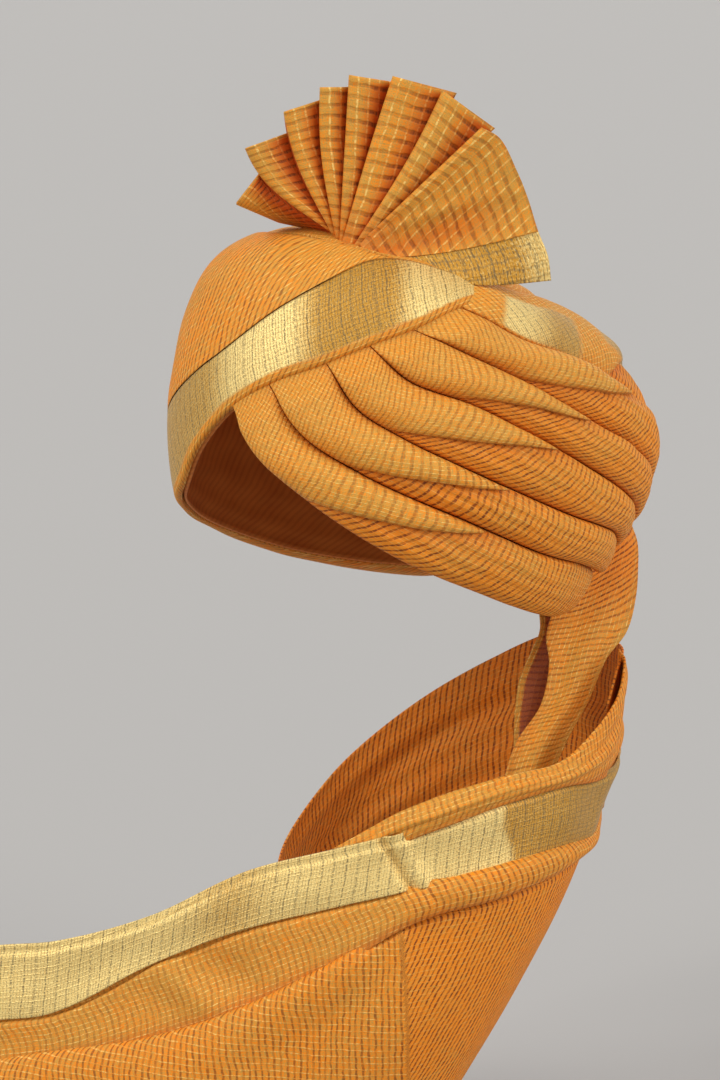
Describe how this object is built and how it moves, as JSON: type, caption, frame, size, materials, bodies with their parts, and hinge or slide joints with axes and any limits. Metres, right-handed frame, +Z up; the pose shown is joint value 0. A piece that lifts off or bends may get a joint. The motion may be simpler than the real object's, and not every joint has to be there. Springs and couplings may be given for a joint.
{
  "type": "tied turban pagri with pleated fan and draped tail",
  "caption": "Tied turban of wound silk rolls with a smooth front panel, gold edge, pleated fan on top and a long tail from the nape, looped round the neck and across the chest.",
  "frame": {"origin": "on the axis of the head opening, at the height of the notch over the brow, where the turban sits on a head", "axes": "+Z up, the wearer faces -Y, the wearer's left is +X"},
  "size_m": [0.1945, 0.299, 0.4573],
  "materials": {
    "orange_silk": "woven silk with fine gold threads and rust ribs",
    "lining_silk": "plain woven silk",
    "gold_zari": "metallic woven edge"
  },
  "bodies": {
    "root": {"inner_wrap": "lining_silk", "roll_1": "orange_silk", "roll_2": "orange_silk", "roll_3": "orange_silk", "roll_4": "orange_silk", "roll_5": "orange_silk", "crown_roll_1": "orange_silk", "crown_roll_2": "orange_silk", "crown_roll_3": "orange_silk", "crown_roll_4": "orange_silk", "front_panel": "orange_silk", "front_border": "gold_zari", "nape_tuck": "orange_silk", "fan": "orange_silk", "fan_flap": "orange_silk", "fan_border": "gold_zari", "tail_drop": "orange_silk", "tail_loop": "orange_silk", "tail_cowl": "orange_silk", "tail_border": "gold_zari", "tail_upper": "orange_silk", "tail_lower": "orange_silk"}
  },
  "joints": []
}
